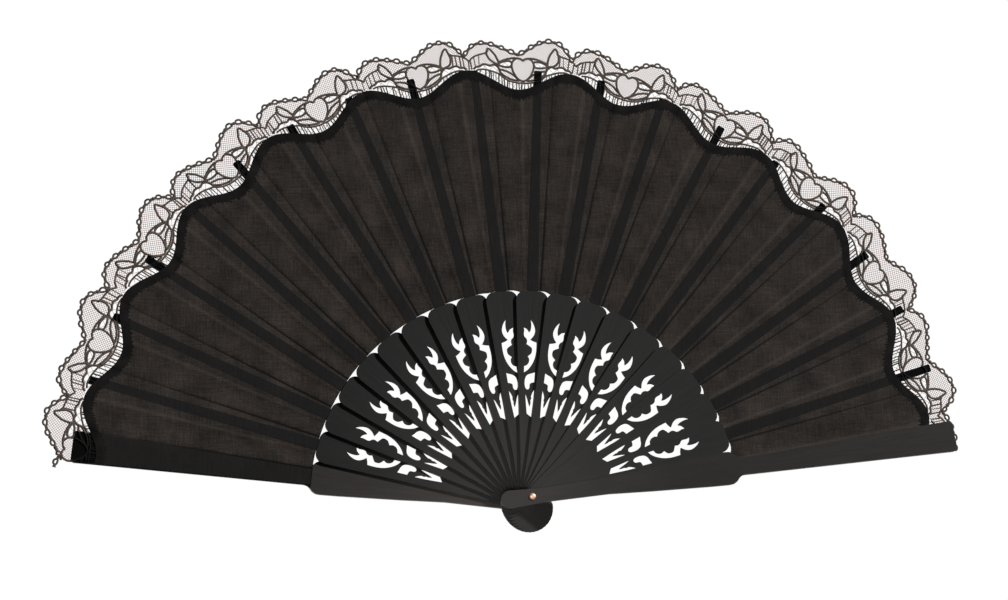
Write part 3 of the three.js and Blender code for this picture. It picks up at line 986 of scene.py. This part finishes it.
def make_camera():
    az, el, roll = (math.radians(v) for v in (CAM_AZ, CAM_EL, CAM_ROLL))
    back = Vector((math.sin(az) * math.cos(el), -math.sin(el), math.cos(az) * math.cos(el)))
    right = (-back).cross(Vector((0, 1, 0))).normalized()
    up = right.cross(-back)
    c, s = math.cos(roll), math.sin(roll)
    right, up = right * c + up * s, up * c - right * s
    data = bpy.data.cameras.new("camera")
    data.lens, data.sensor_width = LENS_MM, SENSOR_MM
    data.clip_start, data.clip_end = CAM_CLIP
    camera = put_in_scene("camera", data)
    turn = Matrix((right, up, back)).transposed().to_4x4()
    camera.matrix_world = Matrix.Translation(Vector(CAM_TARGET) + back * CAM_DISTANCE) @ turn
    bpy.context.scene.camera = camera


def make_light():
    scene = bpy.context.scene
    scene.view_settings.view_transform = "Standard"
    world = bpy.data.worlds.new("studio")
    scene.world = world
    world.use_nodes = True
    background = world.node_tree.nodes["Background"]
    background.inputs["Color"].default_value = SKY_COLOUR
    background.inputs["Strength"].default_value = SKY_STRENGTH
    data = bpy.data.lights.new("key", "SUN")
    data.energy = SUN_POWER
    data.angle = math.radians(SUN_WIDE_DEG)
    data.color = SUN_COLOUR
    key = put_in_scene("key", data)
    az, el = math.radians(SUN_AZ), math.radians(SUN_EL)
    toward = Vector((math.cos(az) * math.cos(el), math.sin(az) * math.cos(el), math.sin(el)))
    key.rotation_mode = "QUATERNION"
    key.rotation_quaternion = toward.to_track_quat("Z", "Y")


def make_handle_light():
    """A small soft lamp near the handle, so that the pivot isn't lost in the guard's shadow."""
    data = bpy.data.lights.new("handle", "SPOT")
    data.energy = LAMP_WATTS
    data.shadow_soft_size = LAMP_SOFT
    data.spot_size = math.radians(LAMP_CONE_DEG)
    data.spot_blend = 1.0
    data.color = LAMP_COLOUR
    lamp = put_in_scene("handle", data)
    lamp.location = LAMP_PLACE
    lamp.rotation_mode = "QUATERNION"
    lamp.rotation_quaternion = (Vector(LAMP_PLACE) - Vector(LAMP_AIM)).to_track_quat("Z", "Y")


def make_floor():
    """Plain white table that glows evenly, so that it stays white under the fan."""
    mesh = bpy.data.meshes.new("floor")
    corners = [(x * FLOOR_HALF, y * FLOOR_HALF, 0) for x, y in ((-1, -1), (1, -1), (1, 1), (-1, 1))]
    mesh.from_pydata(corners, [], [(0, 1, 2, 3)])
    floor = put_in_scene("floor", mesh)
    floor.location.z = FLOOR_Z
    shader = Shader("floor_white")
    shader.set(Base_Color=FLOOR_BASE, Roughness=0.9, Specular_IOR_Level=0.0)
    shader.set(Emission_Color=FLOOR_GLOW, Emission_Strength=1.0)
    mesh.materials.append(shader.material)


# ---------------------------------------------------------------- the fan

def dress(node, material):
    """Gives a CAD node its material, joined faces and normals that follow its own shape."""
    node.data.materials.clear()
    node.data.materials.append(material)
    if "custom_normal" in node.data.attributes:
        node.data.attributes.remove(node.data.attributes["custom_normal"])
    node.data.shade_smooth()
    weld = node.modifiers.new("weld", "WELD")
    weld.merge_threshold = WELD_WITHIN


def finish_cad_wood():
    """Sticks and guards keep their CAD meshes and get wood and rounded edges."""
    stick_wood = black_wood("stick_wood", STICK_DARK, STICK_LIGHT, STICK_ROUGH)
    rear_wood = black_wood("rear_guard_wood", REAR_DARK, REAR_LIGHT, REAR_ROUGH)
    front_wood = black_wood("front_guard_wood", FRONT_DARK, FRONT_LIGHT, FRONT_ROUGH, plain=True)
    for k in range(STICKS + 2):
        name = element_body(k)
        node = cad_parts[name]
        guard = k in (0, STICKS + 1)
        dress(node, rear_wood if k == 0 else front_wood if guard else stick_wood)
        flat = node.modifiers.new("flat", "DECIMATE")
        flat.decimate_type = "DISSOLVE"
        flat.angle_limit = math.radians(FLAT_WITHIN_DEG)
        bevel = node.modifiers.new("edges", "BEVEL")
        bevel.width, bevel.segments = GUARD_ROUND if guard else STICK_ROUND
        bevel.limit_method = "ANGLE"
        bevel.angle_limit = math.radians(ROUND_FROM_DEG)
        bevel.harden_normals = True


def crease_marks(piece, gap):
    """Marks how much each point of the leaf lies in the valley fold or on the ridge fold, for the
    painted shade and painted highlight there.
    """
    marks = {"fold": [], "ridge": []}
    for v in piece.data.vertices:
        past = gap.start - math.degrees(math.atan2(v.co.y, v.co.x))
        reach = math.hypot(v.co.x, v.co.y)
        scale = HEM_MEAN / reach
        near = FOLD_LEAST + (1 - FOLD_LEAST) * smooth((FOLD_FADE_R - reach) / FOLD_FADE)
        valley = abs(past - gap.width / 4) / (FOLD_LINE_DEG * scale)
        ridge = abs(past - 3 * gap.width / 4) / (RIDGE_LINE_DEG * scale)
        marks["fold"].append(near * max(0.0, 1 - valley))
        marks["ridge"].append(max(0.0, 1 - ridge))
    for name, values in marks.items():
        layer = piece.data.attributes.new(name, "FLOAT", "POINT")
        layer.data.foreach_set("value", values)


def make_soft_parts():
    cloth = leaf_cloth("leaf_cloth")
    tape = hem_cloth("hem_tape")
    cord = thread_finish("lace_cord", CORD_DARK, CORD_LIGHT, CORD_TWIST)
    fine = thread_finish("lace_net", NET_DARK, NET_LIGHT, NET_TWIST)
    threads = edge_threads()
    rng = random.Random(THREAD_SEED)
    for j in range(REPEATS):
        threads += repeat_threads(FIRST_LOW_DEG + HEART_SHIFT_DEG - REPEAT_DEG * j, rng)
    net = net_threads()
    for gap in GAPS:
        leaf = make_leaf(gap, cloth)
        crease_marks(leaf, gap)
        hem = make_hem(gap, tape, rng)
        lace = make_lace(gap, threads, "lace_cords", cord)
        mesh = make_lace(gap, net, "lace_net", fine)
        tip_marks(lace)
        for piece in (leaf, hem):
            follow_joint(piece, gap)
        for piece in (lace, mesh):
            follow_joint(piece, gap)
        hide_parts(f"leaf_panel_{gap.k:02d}")
        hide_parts(f"lace_panel_{gap.k:02d}")


def finish_metal():
    metal = copper("rivet_copper")
    for name in ("rivet", "rivet_washer"):
        dress(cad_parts[name], metal)


make_camera()
make_light()
make_handle_light()
make_floor()
finish_cad_wood()
finish_metal()
make_soft_parts()
